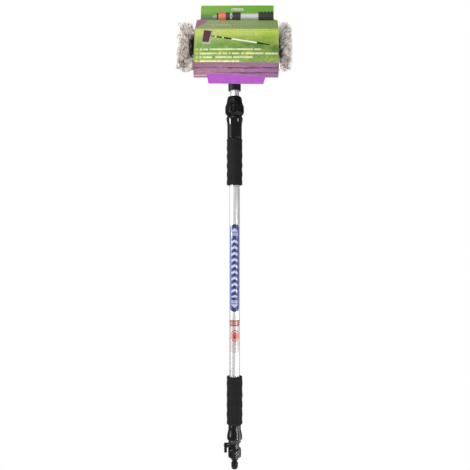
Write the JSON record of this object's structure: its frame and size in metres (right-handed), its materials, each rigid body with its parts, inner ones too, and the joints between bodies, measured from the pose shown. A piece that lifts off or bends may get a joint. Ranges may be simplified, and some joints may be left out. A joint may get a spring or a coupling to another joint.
{
  "type": "telescopic wash brush",
  "caption": "Telescopic water-fed wash brush: bristle head in a folded card sleeve, aluminium pole with twist lock, foam grips and shut-off valve with hose nipple.",
  "frame": {"origin": "on the pole's axis at the middle of the lower foam grip, where a hand holds it", "axes": "+Z along the pole towards the head, -Y the side that the bristles face, +X to the right seen from the bristle side"},
  "size_m": [0.26, 0.1163, 1.109],
  "materials": {
    "brushed_aluminium": "satin brushed",
    "foam": "matte closed-cell foam",
    "gloss_plastic": "gloss moulded plastic",
    "satin_plastic": "satin moulded plastic",
    "seal_rubber": "matte rubber",
    "seat_plastic": "smooth white plastic",
    "screw_steel": "plain steel",
    "chromed_brass": "polished",
    "head_plastic": "satin moulded plastic",
    "light_bristle": "soft split-tip bristle",
    "dark_bristle": "soft split-tip bristle",
    "label_blue": "satin printed film",
    "marker_red": "satin printed film",
    "printed_card": "printed, lightly varnished card"
  },
  "bodies": {
    "outer_pole": {"outer_tube": "brushed_aluminium", "lower_grip": "foam", "upper_grip": "foam", "pole_label": "label_blue", "marker_label": "marker_red", "collet_body": "gloss_plastic", "packing_seal": "seal_rubber", "valve_cap": "gloss_plastic", "tube_seal": "seal_rubber", "valve_body": "gloss_plastic", "upper_ball_seat": "seat_plastic", "lower_ball_seat": "seat_plastic", "seat_retainer": "satin_plastic", "end_nut": "gloss_plastic", "nipple_washer": "seal_rubber", "hose_nipple": "satin_plastic", "nipple_o_ring": "seal_rubber"},
    "seal_carriage": {"piston_seal": "seal_rubber"},
    "inner_pole": {"inner_tube": "brushed_aluminium", "bottom_plug": "satin_plastic", "neck_seal": "seal_rubber", "neck_screw": "screw_steel", "head_block": "head_plastic", "head_cover": "head_plastic", "cover_screw_1": "screw_steel", "cover_screw_2": "screw_steel", "cover_screw_3": "screw_steel", "cover_screw_4": "screw_steel", "outer_bristles": "light_bristle", "inner_bristles": "dark_bristle", "card_sleeve": "printed_card"},
    "clamp": {"clamp_ring": "seat_plastic"},
    "collar": {"lock_collar": "satin_plastic"},
    "valve_core": {"valve_lever": "satin_plastic", "valve_stem": "chromed_brass", "valve_ball": "chromed_brass", "stem_o_ring": "seal_rubber", "lever_screw": "screw_steel"}
  },
  "joints": [
    {"name": "telescope", "type": "slide", "parent": "outer_pole", "child": "seal_carriage", "axis": [0, 0, 1], "range_m": [0, 0.6]},
    {"name": "pole_swivel", "type": "hinge", "parent": "seal_carriage", "child": "inner_pole", "pos_m": [0, 0, 0.0166], "axis": [0, 0, 1], "continuous": true},
    {"name": "clamp_lift", "type": "slide", "parent": "outer_pole", "child": "clamp", "axis": [0, 0, 1], "range_m": [0, 0.0015]},
    {"name": "collar_turn", "type": "hinge", "parent": "clamp", "child": "collar", "pos_m": [0, 0, 0.7037], "axis": [0, 0, 1], "range_deg": [0, 180]},
    {"name": "valve_turn", "type": "hinge", "parent": "outer_pole", "child": "valve_core", "pos_m": [0, 0, -0.11], "axis": [-1, 0, 0], "range_deg": [0, 90]}
  ],
  "couplings": [
    {"joint": "clamp_lift", "follows": "collar_turn", "m_per_rad": 0.0004774}
  ]
}
